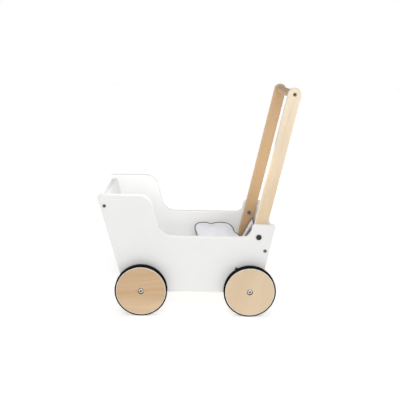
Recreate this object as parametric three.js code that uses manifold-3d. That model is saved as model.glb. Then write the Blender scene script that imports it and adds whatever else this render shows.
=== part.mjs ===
// A wooden doll stroller (a toy pram): two painted side panels with a raised hood end and low
// rim, panels across the front, rear and floor, four solid wooden wheels with rubber tyres that
// turn on bolts, two handle arms with a dowel between them, and two small pillows inside.
//
// Millimetres. +X points from the hood end to the handle, +Y to the stroller's right-hand side
// (seen from the handle end it is on the right), +Z up. The ground is Z = 0, and the origin is
// under the middle of the whole stroller.

import * as THREE from 'three';
import { mergeVertices } from 'three/addons/utils/BufferGeometryUtils.js';
import Module from 'manifold-3d';

const wasm = await Module();
wasm.setup();

// ---------------------------------------------------------------- driving dimensions

// body
const PANEL_THICKNESS = 12;
const BODY_WIDTH = 258; // over the two side panels
const JOINT_GAP = 0.3; // between pieces that touch
const EDGE_ROUND = 2; // rounded edges of the painted panels

// side panel outline, in the X-Z plane
const PANEL_BOTTOM_Z = 52.1;
const HOOD_TOP_Z = 283.1;
const RIM_Z = 186.7;
const EAR_TOP_Z = 216.5;
const HOOD_FRONT_X = -228.7; // corner of the front edge and the hood's top
const HOOD_CURVE_X = -94.95; // slanted back of the hood, halfway down to the rim
const EAR_FRONT_X = 126.1; // slanted front of the ear, halfway up from the rim
const EAR_REAR_X = 181.2; // corner of the rear edge and the ear's top
const FRONT_ANGLE = 15.4; // degrees from upright
const REAR_ANGLE = 11; // degrees from upright
const HOOD_CORNER_R = 8.5;
const HOOD_CURVE_TOP_R = 33;
const HOOD_CURVE_FOOT_R = 37;
const EAR_FOOT_R = 17.5;
const EAR_FRONT_R = 7.5;
const EAR_REAR_R = 4.5;
const BOTTOM_CORNER_R = 10;

// panels across the body
const PANEL_SETBACK = 4.2; // from the side panels' edges in to the cross panels' outer faces
const FRONT_PANEL_TOP_Z = 272.5;
const REAR_PANEL_TOP_Z = 209;
const CROSS_PANEL_BOTTOM_Z = 86;
const FLOOR_TOP_Z = 116;

// wheels
const AXLE_X = { front: -126.8, rear: 125.2 };
const WHEEL_DISC_R = 57.5;
const WHEEL_THICKNESS = 16;
const WHEEL_GAP = 5; // between side panel and wheel
const WHEEL_EDGE_ROUND = 1.6;
const TYRE_SECTION = 3; // radial thickness
const TYRE_WIDTH = 13.4;
const COUNTERBORE_R = 7;
const COUNTERBORE_DEPTH = 6.2;

// axle beams and the hardware that holds the wheels
const BEAM_WIDTH = 36;
const BEAM_HEIGHT = 16.8;
const AXLE_BOLT_R = 3;
const AXLE_BOLT_HEAD_R = 5.7;
const AXLE_BOLT_HEAD_HEIGHT = 3.3;
const AXLE_BOLT_GRIP = 14; // length of the bolt inside the beam
const WASHER_R = 6.5;
const WASHER_THICKNESS = 1.2;
const BUSH_R = 4.8;
const BUSH_FLANGE_R = 8;
const RUNNING_CLEARANCE = 0.35; // radial, between bush and wheel
const INSERT_R = 5;
const INSERT_LENGTH = 13;

// handle
const ARM_WIDTH = 30;
const ARM_THICKNESS = 10;
const ARM_LEAN = 11.83; // degrees from upright
const ARM_REST_GAP = 0.7; // between the arm's rear edge and the rear panel
const ARM_SIDE_GAP = 0.5; // between arm and side panel
const ARM_EDGE_ROUND = 1.4;
const ARM_REACH = 331.8; // from the arm's bolt up to the dowel
const ARM_FOOT_GAP = 4; // between the arm's lower end and the floor
const ARM_FOOT_CORNER_R = 4; // the foot is cut square, and the top end is round
const ARM_BOLT_DROP = 29; // of the arm's bolt below the ear's top
const DOWEL_R = 9;
const DOWEL_CHAMFER = 1;

// fasteners that can be seen or felt
const SCREW_HEAD_R = 4;
const SCREW_HEAD_HEIGHT = 3;
const SCREW_SHANK_R = 2.4;
const SCREW_LENGTH = 42;
const SCREW_SUNK = 0.4; // head below the surface
const END_SCREW_LENGTH = 36;
const ARM_BOLT_HEAD_R = 6.3;
const ARM_BOLT_HEAD_HEIGHT = 3;
const ARM_BOLT_SHANK_R = 3;
const SLEEVE_R = 4.2;
const SLEEVE_HEAD_R = 6;
const SLEEVE_HEAD_HEIGHT = 2;
const SOCKET_R = 2.3; // across the corners of the hexagon sockets

// where the screws are, measured up the panels
const FRONT_SCREW_Z = [256.5, 98];
const REAR_SCREW_Z = [154.5, 96];
const FLOOR_SCREW_X = { front: -118, rear: 94 };

// pillows
const PLAIN_PILLOW = { length: 114, width: 170, thickness: 28, edge: 9 };
const PLAIN_PILLOW_X = 56.2;
const PLAIN_PILLOW_Y = 12;
const PLAIN_PILLOW_TILT = 10; // degrees, its far side up
const PRINT_PILLOW = { length: 62, width: 196, thickness: 10, edge: 3.5 };
const PRINT_PILLOW_LEAN = 28; // degrees back from upright
const PILLOW_CORNER_R = 22;
const PILLOW_CLEARANCE = 2; // to the floor and the rear panel

// facets around round pieces
const WHEEL_SEGMENTS = 40;
const DOWEL_SEGMENTS = 20;
const RING_SEGMENTS = 14;
const FASTENER_SEGMENTS = 10;

// ---------------------------------------------------------------- derived places

const radians = THREE.MathUtils.degToRad;
const frontSlope = Math.tan(radians(FRONT_ANGLE));
const rearSlope = Math.tan(radians(REAR_ANGLE));
const outerY = BODY_WIDTH / 2;
const innerY = outerY - PANEL_THICKNESS;
const axleZ = WHEEL_DISC_R + JOINT_GAP + TYRE_SECTION;
const wheelInnerY = outerY + WHEEL_GAP;
const wheelOuterY = wheelInnerY + WHEEL_THICKNESS;
const armOuterY = innerY - ARM_SIDE_GAP;
const armInnerY = armOuterY - ARM_THICKNESS;
const armBoltZ = EAR_TOP_Z - ARM_BOLT_DROP;
const screwInset = PANEL_SETBACK + PANEL_THICKNESS / 2;

// X of the side panels' front and rear edges at a height, moved in by a distance square to them.
function frontEdgeX(z, inset = 0) {
  return HOOD_FRONT_X + (HOOD_TOP_Z - z) * frontSlope + inset / Math.cos(radians(FRONT_ANGLE));
}

function rearEdgeX(z, inset = 0) {
  return EAR_REAR_X - (EAR_TOP_Z - z) * rearSlope - inset / Math.cos(radians(REAR_ANGLE));
}

const armBoltInset = PANEL_SETBACK + PANEL_THICKNESS + ARM_REST_GAP + ARM_WIDTH / 2;
const armBoltX = rearEdgeX(armBoltZ, armBoltInset);
const armDirection = new THREE.Vector2(Math.sin(radians(ARM_LEAN)), Math.cos(radians(ARM_LEAN)));
const dowelX = armBoltX + ARM_REACH * armDirection.x;
const dowelZ = armBoltZ + ARM_REACH * armDirection.y;

// ---------------------------------------------------------------- materials

function finish(color, roughness, metalness = 0) {
  return new THREE.MeshStandardMaterial({ color, roughness, metalness });
}

const looks = {
  paint: () => finish(0xf0f0ee, 0.45),
  wheelWood: () => finish(0xd8bc92, 0.55),
  armWood: () => finish(0xdcb98a, 0.5),
  beamWood: () => finish(0xd9c3a0, 0.7),
  rubber: () => finish(0x101010, 0.8),
  steel: () => finish(0xb9bcbc, 0.3, 0.9),
  blackSteel: () => finish(0x1a1a1b, 0.4, 0.6),
  bush: () => finish(0xe8e6e0, 0.5),
  greyCloth: () => finish(0xd9d9de, 0.9),
  printCloth: () => finish(0xe8e2e2, 0.9),
};

// ---------------------------------------------------------------- shapes

// A closed outline with its corners rounded. Each corner is [x, y, radius].
function roundedOutline(corners) {
  const shape = new THREE.Shape();
  corners.forEach(([x, y, radius], i) => {
    const [beforeX, beforeY] = corners[(i + corners.length - 1) % corners.length];
    const [afterX, afterY] = corners[(i + 1) % corners.length];
    const corner = new THREE.Vector2(x, y);
    const back = new THREE.Vector2(beforeX - x, beforeY - y).normalize();
    const ahead = new THREE.Vector2(afterX - x, afterY - y).normalize();
    const halfAngle = Math.acos(THREE.MathUtils.clamp(back.dot(ahead), -1, 1)) / 2;
    const reach = radius / Math.tan(halfAngle);
    const start = corner.clone().addScaledVector(back, reach);
    const end = corner.clone().addScaledVector(ahead, reach);
    const middle = back.clone().add(ahead).normalize();
    const centre = corner.clone().addScaledVector(middle, radius / Math.sin(halfAngle));
    const from = Math.atan2(start.y - centre.y, start.x - centre.x);
    const to = Math.atan2(end.y - centre.y, end.x - centre.x);
    const turnsLeft = back.x * ahead.y - back.y * ahead.x < 0;
    if (i === 0) {
      shape.moveTo(start.x, start.y);
    } else {
      shape.lineTo(start.x, start.y);
    }
    shape.absarc(centre.x, centre.y, radius, from, to, !turnsLeft);
  });
  shape.closePath();
  return shape;
}

// A board of even thickness standing in the X-Z plane, its middle at Y = 0.
function boardGeometry(shape, thickness, edgeRound = 0) {
  const geometry = new THREE.ExtrudeGeometry(shape, {
    depth: thickness - 2 * edgeRound,
    bevelEnabled: edgeRound > 0,
    bevelThickness: edgeRound,
    bevelSize: edgeRound,
    bevelOffset: -edgeRound,
    bevelSegments: 1,
    curveSegments: 5,
  });
  geometry.translate(0, 0, edgeRound - thickness / 2);
  geometry.rotateX(Math.PI / 2);
  return geometry;
}

// A turned solid about the Y axis. Points are [radius, y], in order of rising y outside.
function turned(points, segments) {
  return new THREE.LatheGeometry(points.map(([r, y]) => new THREE.Vector2(r, y)), segments);
}

// A tube about the Y axis from y = 0 to y = length.
function tube(outerR, innerR, length, segments) {
  const ring = [[innerR, 0], [outerR, 0], [outerR, length], [innerR, length], [innerR, 0]];
  return turned(ring, segments);
}

// A screw or bolt whose head starts at y = 0 and whose shank runs to +Y.
function fastenerGeometry({ headR, headHeight, shankR, length, dome = 0 }) {
  return turned([
    [0, 0],
    [headR - dome, 0],
    ...(dome > 0 ? [[headR, dome]] : []),
    [headR, headHeight],
    [shankR, headHeight],
    [shankR, length],
    [0, length],
  ], FASTENER_SEGMENTS);
}

// The hole for that screw or bolt, all round it with the usual gap, and open at the head's end.
function fastenerHole({ headR, headHeight, shankR, length }) {
  const mouth = headHeight + 2;
  return turned([
    [0, -mouth],
    [headR + JOINT_GAP, -mouth],
    [headR + JOINT_GAP, headHeight + JOINT_GAP],
    [shankR + JOINT_GAP, headHeight + JOINT_GAP],
    [shankR + JOINT_GAP, length + JOINT_GAP],
    [0, length + JOINT_GAP],
  ], FASTENER_SEGMENTS);
}

function hexSocket(depth) {
  return new THREE.CylinderGeometry(SOCKET_R, SOCKET_R, 2 * depth, 6);
}

// ---------------------------------------------------------------- cutting

function solidFrom(geometry) {
  const bare = geometry.clone();
  bare.deleteAttribute('normal');
  bare.deleteAttribute('uv');
  const merged = mergeVertices(bare, 1e-4);
  const triangles = [];
  for (let i = 0; i < merged.index.count; i += 3) {
    const [a, b, c] = [0, 1, 2].map((k) => merged.index.getX(i + k));
    if (a !== b && b !== c && c !== a) {
      triangles.push(a, b, c);
    }
  }
  return new wasm.Manifold(new wasm.Mesh({
    numProp: 3,
    vertProperties: new Float32Array(merged.attributes.position.array),
    triVerts: new Uint32Array(triangles),
  }));
}

function geometryFrom(solid) {
  const { vertProperties, triVerts } = solid.getMesh();
  const geometry = new THREE.BufferGeometry();
  geometry.setAttribute('position', new THREE.BufferAttribute(vertProperties, 3));
  geometry.setIndex(new THREE.BufferAttribute(triVerts, 1));
  geometry.computeVertexNormals();
  return geometry;
}

// Cuts tool geometries, given in the stroller's frame, out of a placed mesh.
function cut(mesh, tools) {
  mesh.updateWorldMatrix(true, false);
  const toLocal = mesh.matrixWorld.clone().invert();
  let solid = solidFrom(mesh.geometry);
  for (const tool of tools) {
    solid = solid.subtract(solidFrom(tool.clone().applyMatrix4(toLocal)));
  }
  mesh.geometry = geometryFrom(solid);
}

// ---------------------------------------------------------------- assembly helpers

const stroller = new THREE.Group();
const pieces = {};

function add(name, geometry, material, parent = stroller) {
  const mesh = new THREE.Mesh(geometry, material);
  mesh.name = name;
  pieces[name] = mesh;
  parent.add(mesh);
  return mesh;
}

// The two sides of the stroller. `inward` turns a fastener so that its shank points inwards.
const sides = [
  { label: 'left', sign: -1, inward: 0 },
  { label: 'right', sign: 1, inward: Math.PI },
];

const ends = ['front', 'rear'];

// Adds a fastener from one side, and cuts its hole out of the pieces that it passes through.
function fasten(name, size, side, { x, y, z }, hosts, look) {
  const geometry = fastenerGeometry(size);
  const socketed = solidFrom(geometry).subtract(solidFrom(hexSocket(size.headHeight * 0.7)));
  const fastener = add(name, geometryFrom(socketed), look());
  fastener.position.set(x, side.sign * y, z);
  fastener.rotation.z = side.inward;
  fastener.updateWorldMatrix(true, false);
  const hole = fastenerHole(size).applyMatrix4(fastener.matrixWorld);
  hosts.forEach((host) => cut(pieces[host], [hole]));
}

// ---------------------------------------------------------------- body

function sidePanelShape() {
  const middleHood = (HOOD_TOP_Z + RIM_Z) / 2;
  const middleEar = (EAR_TOP_Z + RIM_Z) / 2;
  const hoodBackX = (z) => HOOD_CURVE_X + (middleHood - z) * frontSlope;
  const earFrontX = (z) => EAR_FRONT_X + (z - middleEar) * rearSlope;
  return roundedOutline([
    [frontEdgeX(PANEL_BOTTOM_Z), PANEL_BOTTOM_Z, BOTTOM_CORNER_R],
    [rearEdgeX(PANEL_BOTTOM_Z), PANEL_BOTTOM_Z, BOTTOM_CORNER_R],
    [EAR_REAR_X, EAR_TOP_Z, EAR_REAR_R],
    [earFrontX(EAR_TOP_Z), EAR_TOP_Z, EAR_FRONT_R],
    [earFrontX(RIM_Z), RIM_Z, EAR_FOOT_R],
    [hoodBackX(RIM_Z), RIM_Z, HOOD_CURVE_FOOT_R],
    [hoodBackX(HOOD_TOP_Z), HOOD_TOP_Z, HOOD_CURVE_TOP_R],
    [HOOD_FRONT_X, HOOD_TOP_Z, HOOD_CORNER_R],
  ]);
}

function polygon(points) {
  return new THREE.Shape(points.map(([x, z]) => new THREE.Vector2(x, z)));
}

function addBody() {
  for (const { label, sign } of sides) {
    const geometry = boardGeometry(sidePanelShape(), PANEL_THICKNESS, EDGE_ROUND);
    const panel = add(`side_panel_${label}`, geometry, looks.paint());
    panel.position.y = sign * (outerY - PANEL_THICKNESS / 2);
  }
  const crossLength = 2 * (innerY - JOINT_GAP);
  const outerInset = PANEL_SETBACK;
  const innerInset = PANEL_SETBACK + PANEL_THICKNESS;
  const front = polygon([
    [frontEdgeX(CROSS_PANEL_BOTTOM_Z, outerInset), CROSS_PANEL_BOTTOM_Z],
    [frontEdgeX(CROSS_PANEL_BOTTOM_Z, innerInset), CROSS_PANEL_BOTTOM_Z],
    [frontEdgeX(FRONT_PANEL_TOP_Z, innerInset), FRONT_PANEL_TOP_Z],
    [frontEdgeX(FRONT_PANEL_TOP_Z, outerInset), FRONT_PANEL_TOP_Z],
  ]);
  add('front_panel', boardGeometry(front, crossLength), looks.paint());
  const rear = polygon([
    [rearEdgeX(CROSS_PANEL_BOTTOM_Z, innerInset), CROSS_PANEL_BOTTOM_Z],
    [rearEdgeX(CROSS_PANEL_BOTTOM_Z, outerInset), CROSS_PANEL_BOTTOM_Z],
    [rearEdgeX(REAR_PANEL_TOP_Z, outerInset), REAR_PANEL_TOP_Z],
    [rearEdgeX(REAR_PANEL_TOP_Z, innerInset), REAR_PANEL_TOP_Z],
  ]);
  add('rear_panel', boardGeometry(rear, crossLength), looks.paint());
  const floorBottomZ = FLOOR_TOP_Z - PANEL_THICKNESS;
  const floorInset = innerInset + JOINT_GAP;
  const floor = polygon([
    [frontEdgeX(floorBottomZ, floorInset), floorBottomZ],
    [rearEdgeX(floorBottomZ, floorInset), floorBottomZ],
    [rearEdgeX(FLOOR_TOP_Z, floorInset), FLOOR_TOP_Z],
    [frontEdgeX(FLOOR_TOP_Z, floorInset), FLOOR_TOP_Z],
  ]);
  add('floor_panel', boardGeometry(floor, crossLength), looks.paint());
}

const panelScrew = {
  headR: SCREW_HEAD_R,
  headHeight: SCREW_HEAD_HEIGHT,
  shankR: SCREW_SHANK_R,
  length: SCREW_LENGTH,
};

function addPanelScrews() {
  const y = outerY - SCREW_SUNK;
  const heights = ['upper', 'lower'];
  for (const side of sides) {
    const panel = `side_panel_${side.label}`;
    heights.forEach((height, i) => {
      const frontZ = FRONT_SCREW_Z[i];
      const frontPlace = { x: frontEdgeX(frontZ, screwInset), y, z: frontZ };
      const frontName = `screw_front_${height}_${side.label}`;
      fasten(frontName, panelScrew, side, frontPlace, [panel, 'front_panel'], looks.blackSteel);
      const rearZ = REAR_SCREW_Z[i];
      const rearPlace = { x: rearEdgeX(rearZ, screwInset), y, z: rearZ };
      const rearName = `screw_rear_${height}_${side.label}`;
      fasten(rearName, panelScrew, side, rearPlace, [panel, 'rear_panel'], looks.blackSteel);
    });
    ends.forEach((end) => {
      const place = { x: FLOOR_SCREW_X[end], y, z: FLOOR_TOP_Z - PANEL_THICKNESS / 2 };
      const name = `screw_floor_${end}_${side.label}`;
      fasten(name, panelScrew, side, place, [panel, 'floor_panel'], looks.blackSteel);
    });
  }
}

// ---------------------------------------------------------------- wheels and axles

const axleBolt = {
  headR: AXLE_BOLT_HEAD_R,
  headHeight: AXLE_BOLT_HEAD_HEIGHT,
  shankR: AXLE_BOLT_R,
  length: AXLE_BOLT_HEAD_HEIGHT + AXLE_BOLT_GRIP
    + wheelOuterY - COUNTERBORE_DEPTH + JOINT_GAP + WASHER_THICKNESS + JOINT_GAP - innerY,
  dome: 1.6,
};

// Profile of a wheel disc about the Y axis: outer face at y = 0, inner face at the thickness.
function discProfile() {
  const boreR = BUSH_R + RUNNING_CLEARANCE;
  const softR = WHEEL_DISC_R - WHEEL_EDGE_ROUND;
  return [
    [boreR, COUNTERBORE_DEPTH],
    [COUNTERBORE_R, COUNTERBORE_DEPTH],
    [COUNTERBORE_R, 0],
    [softR, 0],
    [WHEEL_DISC_R, WHEEL_EDGE_ROUND],
    [WHEEL_DISC_R, WHEEL_THICKNESS - WHEEL_EDGE_ROUND],
    [softR, WHEEL_THICKNESS],
    [boreR, WHEEL_THICKNESS],
    [boreR, COUNTERBORE_DEPTH],
  ];
}

function tyreProfile() {
  const innerR = WHEEL_DISC_R + JOINT_GAP;
  const outerR = innerR + TYRE_SECTION;
  const start = (WHEEL_THICKNESS - TYRE_WIDTH) / 2;
  const end = start + TYRE_WIDTH;
  const shoulder = TYRE_SECTION * 0.4;
  return [
    [innerR, start],
    [outerR - shoulder, start],
    [outerR, start + shoulder],
    [outerR, end - shoulder],
    [outerR - shoulder, end],
    [innerR, end],
    [innerR, start],
  ];
}

function bushGeometry() {
  const flangeThickness = WHEEL_GAP - 2 * JOINT_GAP;
  const boreR = AXLE_BOLT_R + JOINT_GAP;
  const length = wheelOuterY - COUNTERBORE_DEPTH - outerY - JOINT_GAP;
  return turned([
    [boreR, 0],
    [BUSH_R, 0],
    [BUSH_R, length - flangeThickness],
    [BUSH_FLANGE_R, length - flangeThickness],
    [BUSH_FLANGE_R, length],
    [boreR, length],
    [boreR, 0],
  ], RING_SEGMENTS);
}

// Everything on one wheel's axis is laid out along +Y from the wheel's outer face inwards.
function addWheel(end, side) {
  const suffix = `${end}_${side.label}`;
  const x = AXLE_X[end];
  const axle = new THREE.Group();
  axle.position.set(x, side.sign * wheelOuterY, axleZ);
  axle.rotation.z = side.inward;
  stroller.add(axle);
  add(`wheel_disc_${suffix}`, turned(discProfile(), WHEEL_SEGMENTS), looks.wheelWood(), axle);
  add(`tyre_${suffix}`, turned(tyreProfile(), WHEEL_SEGMENTS), looks.rubber(), axle);
  const bush = add(`wheel_bush_${suffix}`, bushGeometry(), looks.bush(), axle);
  bush.position.y = COUNTERBORE_DEPTH;
  const washerHole = AXLE_BOLT_R + JOINT_GAP;
  const washerGeometry = tube(WASHER_R, washerHole, WASHER_THICKNESS, RING_SEGMENTS);
  const washer = add(`wheel_washer_${suffix}`, washerGeometry, looks.steel(), axle);
  washer.position.y = COUNTERBORE_DEPTH - JOINT_GAP - WASHER_THICKNESS;
  const headSeat = washer.position.y - JOINT_GAP;
  const insertGeometry = tube(INSERT_R, AXLE_BOLT_R + JOINT_GAP, INSERT_LENGTH, RING_SEGMENTS);
  const insert = add(`insert_nut_${suffix}`, insertGeometry, looks.steel(), axle);
  insert.position.y = wheelOuterY - innerY + 2 * JOINT_GAP;
  const boltY = wheelOuterY - headSeat + AXLE_BOLT_HEAD_HEIGHT;
  const place = { x, y: boltY, z: axleZ };
  fasten(`axle_bolt_${suffix}`, axleBolt, side, place, [`side_panel_${side.label}`], looks.steel);
  cutInsertPocket(end, side, x);
}

// The blind hole in a beam's end that takes the insert nut and the bolt's tip.
function cutInsertPocket(end, side, x) {
  const depth = AXLE_BOLT_GRIP + 2;
  const pocketR = INSERT_R + JOINT_GAP;
  const pocket = new THREE.CylinderGeometry(pocketR, pocketR, 2 * depth, RING_SEGMENTS);
  pocket.translate(x, side.sign * innerY, axleZ);
  cut(pieces[`axle_beam_${end}`], [pocket]);
}

function addWheels() {
  for (const end of ends) {
    const length = 2 * (innerY - JOINT_GAP);
    const beamGeometry = new THREE.BoxGeometry(BEAM_WIDTH, length, BEAM_HEIGHT);
    const beam = add(`axle_beam_${end}`, beamGeometry, looks.beamWood());
    beam.position.set(AXLE_X[end], 0, axleZ);
    sides.forEach((side) => addWheel(end, side));
  }
}

// ---------------------------------------------------------------- handle

const endScrew = { ...panelScrew, length: END_SCREW_LENGTH };

const armBolt = {
  headR: ARM_BOLT_HEAD_R,
  headHeight: ARM_BOLT_HEAD_HEIGHT,
  shankR: ARM_BOLT_SHANK_R,
  length: ARM_BOLT_HEAD_HEIGHT + PANEL_THICKNESS,
  dome: 1.2,
};

// The nut's head lies on the arm's inner face, and its sleeve reaches out around the bolt.
function sleeveNutGeometry() {
  const boreR = ARM_BOLT_SHANK_R + JOINT_GAP;
  const floorY = SLEEVE_HEAD_HEIGHT + 1;
  const length = SLEEVE_HEAD_HEIGHT + ARM_THICKNESS + ARM_SIDE_GAP + PANEL_THICKNESS / 2;
  return turned([
    [0, 0],
    [SLEEVE_HEAD_R, 0],
    [SLEEVE_HEAD_R, SLEEVE_HEAD_HEIGHT],
    [SLEEVE_R, SLEEVE_HEAD_HEIGHT],
    [SLEEVE_R, length],
    [boreR, length],
    [boreR, floorY],
    [0, floorY],
  ], RING_SEGMENTS);
}

function addHandle() {
  const lowerEndZ = FLOOR_TOP_Z + ARM_FOOT_GAP;
  const half = ARM_WIDTH / 2;
  const footR = ARM_FOOT_CORNER_R;
  const lowestCorner = footR + (half - footR) * armDirection.x;
  const footReach = (armBoltZ - lowerEndZ - lowestCorner) / armDirection.y + footR;
  const outline = roundedOutline([
    [-half, -footReach, footR],
    [half, -footReach, footR],
    [half, ARM_REACH + half, half],
    [-half, ARM_REACH + half, half],
  ]);
  const dowelHalf = armInnerY - JOINT_GAP;
  const dowelGeometry = turned([
    [0, -dowelHalf],
    [DOWEL_R - DOWEL_CHAMFER, -dowelHalf],
    [DOWEL_R, DOWEL_CHAMFER - dowelHalf],
    [DOWEL_R, dowelHalf - DOWEL_CHAMFER],
    [DOWEL_R - DOWEL_CHAMFER, dowelHalf],
    [0, dowelHalf],
  ], DOWEL_SEGMENTS);
  const dowel = add('handle_dowel', dowelGeometry, looks.armWood());
  dowel.position.set(dowelX, 0, dowelZ);
  for (const side of sides) {
    const { label, sign } = side;
    const armGeometry = boardGeometry(outline, ARM_THICKNESS, ARM_EDGE_ROUND);
    const arm = add(`handle_arm_${label}`, armGeometry, looks.armWood());
    arm.position.set(armBoltX, sign * (armOuterY - ARM_THICKNESS / 2), armBoltZ);
    arm.rotation.y = radians(ARM_LEAN);
    const endPlace = { x: dowelX, y: armOuterY - SCREW_SUNK, z: dowelZ };
    const endHosts = [arm.name, 'handle_dowel'];
    fasten(`handle_end_screw_${label}`, endScrew, side, endPlace, endHosts, looks.blackSteel);
    addArmBolt(side);
  }
}

function addArmBolt(side) {
  const { label, sign, inward } = side;
  const nut = add(`arm_sleeve_nut_${label}`, sleeveNutGeometry(), looks.steel());
  nut.position.set(armBoltX, sign * (armInnerY - JOINT_GAP - SLEEVE_HEAD_HEIGHT), armBoltZ);
  nut.rotation.z = Math.PI - inward;
  const holeR = SLEEVE_R + JOINT_GAP;
  const hole = new THREE.CylinderGeometry(holeR, holeR, BODY_WIDTH, RING_SEGMENTS);
  hole.translate(armBoltX, sign * BODY_WIDTH / 2, armBoltZ);
  cut(pieces[`side_panel_${label}`], [hole]);
  cut(pieces[`handle_arm_${label}`], [hole]);
  const place = { x: armBoltX, y: outerY + JOINT_GAP + ARM_BOLT_HEAD_HEIGHT, z: armBoltZ };
  fasten(`arm_bolt_${label}`, armBolt, side, place, [], looks.blackSteel);
}

// ---------------------------------------------------------------- pillows

// A flat pad with rounded corners and soft edges, lying in the X-Y plane about the origin.
function padGeometry({ length, width, thickness, edge }) {
  const x = length / 2;
  const y = width / 2;
  const r = PILLOW_CORNER_R;
  const outline = roundedOutline([[-x, -y, r], [x, -y, r], [x, y, r], [-x, y, r]]);
  const geometry = new THREE.ExtrudeGeometry(outline, {
    depth: thickness - 2 * edge,
    bevelThickness: edge,
    bevelSize: edge,
    bevelOffset: -edge,
    bevelSegments: 1,
    curveSegments: 4,
  });
  geometry.translate(0, 0, edge - thickness / 2);
  return geometry;
}

// Half the room that a pad takes up along the upright once it is turned out of the level.
function halfRise(span, thickness, angle) {
  return span / 2 * Math.sin(angle) + thickness / 2 * Math.cos(angle);
}

function addPillows() {
  const restZ = FLOOR_TOP_Z + PILLOW_CLEARANCE;
  const plain = add('pillow_plain', padGeometry(PLAIN_PILLOW), looks.greyCloth());
  const tilt = radians(PLAIN_PILLOW_TILT);
  const plainRise = halfRise(PLAIN_PILLOW.width, PLAIN_PILLOW.thickness, tilt);
  plain.position.set(PLAIN_PILLOW_X, PLAIN_PILLOW_Y, restZ + plainRise);
  plain.rotation.x = tilt;

  const print = add('pillow_print', padGeometry(PRINT_PILLOW), looks.printCloth());
  const lean = radians(PRINT_PILLOW_LEAN);
  const printRise = halfRise(PRINT_PILLOW.length, PRINT_PILLOW.thickness, Math.PI / 2 - lean);
  const printReach = halfRise(PRINT_PILLOW.length, PRINT_PILLOW.thickness, lean);
  const middleZ = restZ + printRise;
  const backInset = PANEL_SETBACK + PANEL_THICKNESS + PILLOW_CLEARANCE;
  print.position.set(rearEdgeX(middleZ + printRise, backInset) - printReach, 0, middleZ);
  print.rotation.y = lean - Math.PI / 2;
}

// ---------------------------------------------------------------- the stroller

addBody();
addPanelScrews();
addWheels();
addHandle();
addPillows();

export default stroller;
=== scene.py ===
"""A wooden doll stroller: white boards, birch wheels with rubber tyres, a birch handle, two cushions.

Metres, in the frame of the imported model. X runs from the hood to the handle, Z up from the ground.
"""

import math

import bmesh
import bpy
from mathutils import Euler, Matrix, Vector
from mathutils import noise as blender_noise
from mathutils.bvhtree import BVHTree


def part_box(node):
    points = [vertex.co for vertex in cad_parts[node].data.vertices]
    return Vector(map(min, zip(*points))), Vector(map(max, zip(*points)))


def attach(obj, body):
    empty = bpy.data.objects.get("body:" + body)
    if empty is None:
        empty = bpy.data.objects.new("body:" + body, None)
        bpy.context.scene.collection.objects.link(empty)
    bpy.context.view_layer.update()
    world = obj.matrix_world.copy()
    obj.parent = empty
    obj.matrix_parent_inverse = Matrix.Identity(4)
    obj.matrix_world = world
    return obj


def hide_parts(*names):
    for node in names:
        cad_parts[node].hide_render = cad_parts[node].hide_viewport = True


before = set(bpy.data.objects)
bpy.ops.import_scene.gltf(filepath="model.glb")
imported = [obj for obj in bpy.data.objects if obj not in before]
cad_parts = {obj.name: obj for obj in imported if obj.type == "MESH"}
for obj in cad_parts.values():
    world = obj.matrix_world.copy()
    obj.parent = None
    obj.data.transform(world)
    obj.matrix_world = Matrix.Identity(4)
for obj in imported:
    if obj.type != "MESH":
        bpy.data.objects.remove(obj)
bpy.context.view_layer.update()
scene = bpy.context.scene
MM = 0.001

# ------------------------------------------------------------------ sizes, in millimetres

# side boards, seen from the side
BOARD_THICKNESS = 12
BOARD_BOTTOM = 52.1
HOOD_TOP = 283.1
RIM = 186.7
EAR_TOP = 216.5
HOOD_FRONT_X = -228.7
HOOD_CURVE_X = -94.95
EAR_FRONT_X = 126.1
EAR_REAR_X = 181.2
FRONT_ANGLE = math.radians(15.4)
REAR_ANGLE = math.radians(11)
BOARD_EDGE = 2
CROSS_EDGE = 1.2
CROSS_SETBACK = 4.2
FLOOR_TOP = 116
FLOOR_EDGE = 0.8
BEAM_CORNER_R = 1.5
BEAM_EDGE = 0.8

# handle
ARM_LEAN = math.radians(11.83)
ARM_WIDTH = 30
ARM_EDGE = 1.6
ARM_FOOT_CORNER_R = 4

# wheels
DISC_EDGE = 1.6
COUNTERBORE_R = 7
COUNTERBORE_DEPTH = 6.2
BUSH_BORE_R = 5.15

# fasteners
GAP = 0.3
SCREW_HEAD_R = 4
SCREW_HEAD_HEIGHT = 3
SCREW_SHANK_R = 2.4
SCREW_SUNK = 0.4
SLEEVE_R = 4.2
AXLE_BOLT_R = 3

# cushions: length, width and thickness
PLAIN_SIZE = (118, 170, 27)
PRINT_SIZE = (64, 198, 12)
CLOTH_CELL = 4.2
FIRST_PUFF = 2.2
PIPING_R = 1.5
STITCH_INSET = 3.4

SIDES = {"left": -1, "right": 1}
ENDS = ("front", "rear")
BOARD_SCREWS = ("front_upper", "front_lower", "rear_upper", "rear_lower", "floor_front", "floor_rear")


# ------------------------------------------------------------------ node trees


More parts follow.
